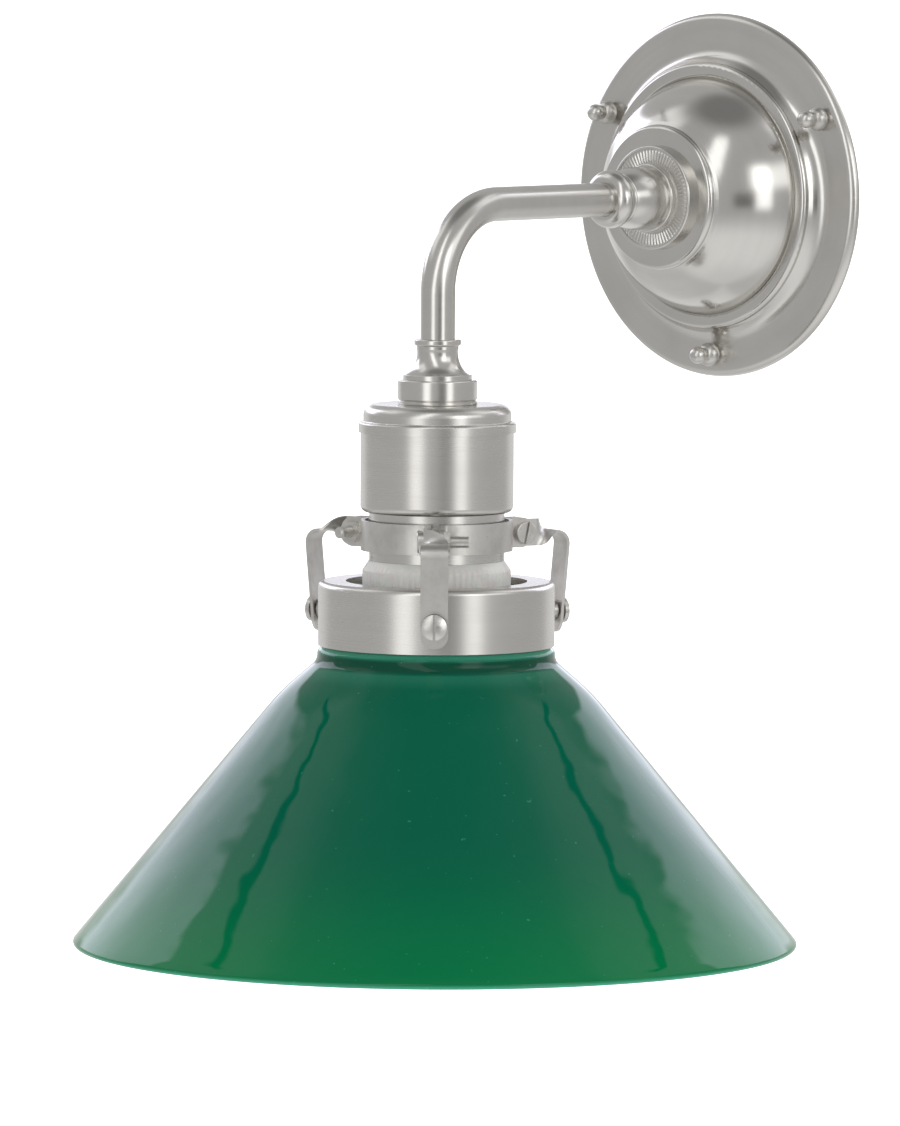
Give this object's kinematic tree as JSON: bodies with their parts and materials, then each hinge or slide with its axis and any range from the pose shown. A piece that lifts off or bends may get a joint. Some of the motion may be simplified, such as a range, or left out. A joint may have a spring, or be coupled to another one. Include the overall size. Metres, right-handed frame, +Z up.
{
  "type": "gooseneck wall sconce",
  "caption": "Gooseneck wall light with a domed round plate, right-angled tube, lampholder in a clamp gallery and a conical green glass shade.",
  "frame": {"origin": "centre of the wall plate, on the wall", "axes": "+Y into the wall, light reaches along -Y, +Z up"},
  "size_m": [0.2518, 0.2759, 0.3222],
  "materials": {
    "polished_nickel": "polished nickel plate on spun brass",
    "satin_nickel": "satin nickel plate on turned brass",
    "strap_nickel": "satin nickel plate on steel strap",
    "zinc_steel": "zinc plated",
    "contact_brass": "bare",
    "lamp_cap_alloy": "bright",
    "green_glass": "glossy green glass cased over white",
    "opal_glass": "soft white",
    "white_skirt": "moulded white, finely ribbed",
    "porcelain": "glazed porcelain",
    "block_plastic": "moulded",
    "flex_sheath": "smooth sheath"
  },
  "bodies": {
    "fixture": {"wall_bracket": "zinc_steel", "fixing_studs": "zinc_steel", "wall_plate": "polished_nickel", "terminal_block": "block_plastic", "terminal_screws": "contact_brass", "earth_screw": "contact_brass", "arm_nipple": "zinc_steel", "back_washer": "zinc_steel", "back_nut": "zinc_steel", "boss_disc": "satin_nickel", "arm_collar": "satin_nickel", "swan_neck": "satin_nickel", "inner_flex": "flex_sheath", "ferrule": "satin_nickel", "holder_cap": "satin_nickel", "holder_cover": "satin_nickel", "holder_sleeve": "satin_nickel", "lower_nipple": "zinc_steel", "cap_nut": "zinc_steel", "lampholder_core": "porcelain", "screw_shell": "contact_brass", "centre_contact": "contact_brass", "skirt_ring": "white_skirt", "collar_segment_1": "strap_nickel", "collar_segment_2": "strap_nickel", "collar_segment_3": "strap_nickel", "gallery_arm_1": "strap_nickel", "gallery_arm_2": "strap_nickel", "gallery_arm_3": "strap_nickel", "ear_screws": "satin_nickel", "ear_nuts": "satin_nickel", "gallery_ring": "satin_nickel", "glass_shade": "green_glass"},
    "knob_right": {"knob_right": "polished_nickel"},
    "knob_left": {"knob_left": "polished_nickel"},
    "knob_bottom": {"knob_bottom": "polished_nickel"},
    "ring_screw_1": {"ring_screw_1": "satin_nickel"},
    "ring_screw_2": {"ring_screw_2": "satin_nickel"},
    "ring_screw_3": {"ring_screw_3": "satin_nickel"},
    "lamp": {"lamp_cap": "lamp_cap_alloy", "lamp_bulb": "opal_glass"}
  },
  "joints": [
    {"name": "knob_right_turn", "type": "hinge", "parent": "fixture", "child": "knob_right", "pos_m": [0.04936, -0.005, 0.0285], "axis": [0, -1, 0], "range_deg": [0, 3600]},
    {"name": "knob_left_turn", "type": "hinge", "parent": "fixture", "child": "knob_left", "pos_m": [-0.04936, -0.005, 0.0285], "axis": [0, -1, 0], "range_deg": [0, 3600]},
    {"name": "knob_bottom_turn", "type": "hinge", "parent": "fixture", "child": "knob_bottom", "pos_m": [0, -0.005, -0.057], "axis": [0, -1, 0], "range_deg": [0, 3600]},
    {"name": "ring_screw_1_turn", "type": "hinge", "parent": "fixture", "child": "ring_screw_1", "pos_m": [0.0297, -0.18381, -0.142], "axis": [0.66, -0.7513, 0], "range_deg": [0, 1440]},
    {"name": "ring_screw_2_turn", "type": "hinge", "parent": "fixture", "child": "ring_screw_2", "pos_m": [0.01443, -0.10738, -0.142], "axis": [0.3206, 0.9472, 0], "range_deg": [0, 1440]},
    {"name": "ring_screw_3_turn", "type": "hinge", "parent": "fixture", "child": "ring_screw_3", "pos_m": [-0.04413, -0.15882, -0.142], "axis": [-0.9806, -0.1959, 0], "range_deg": [0, 1440]},
    {"name": "lamp_turn", "type": "hinge", "parent": "fixture", "child": "lamp", "pos_m": [0, -0.15, -0.12], "axis": [0, 0, -1], "range_deg": [0, 1800]}
  ]
}
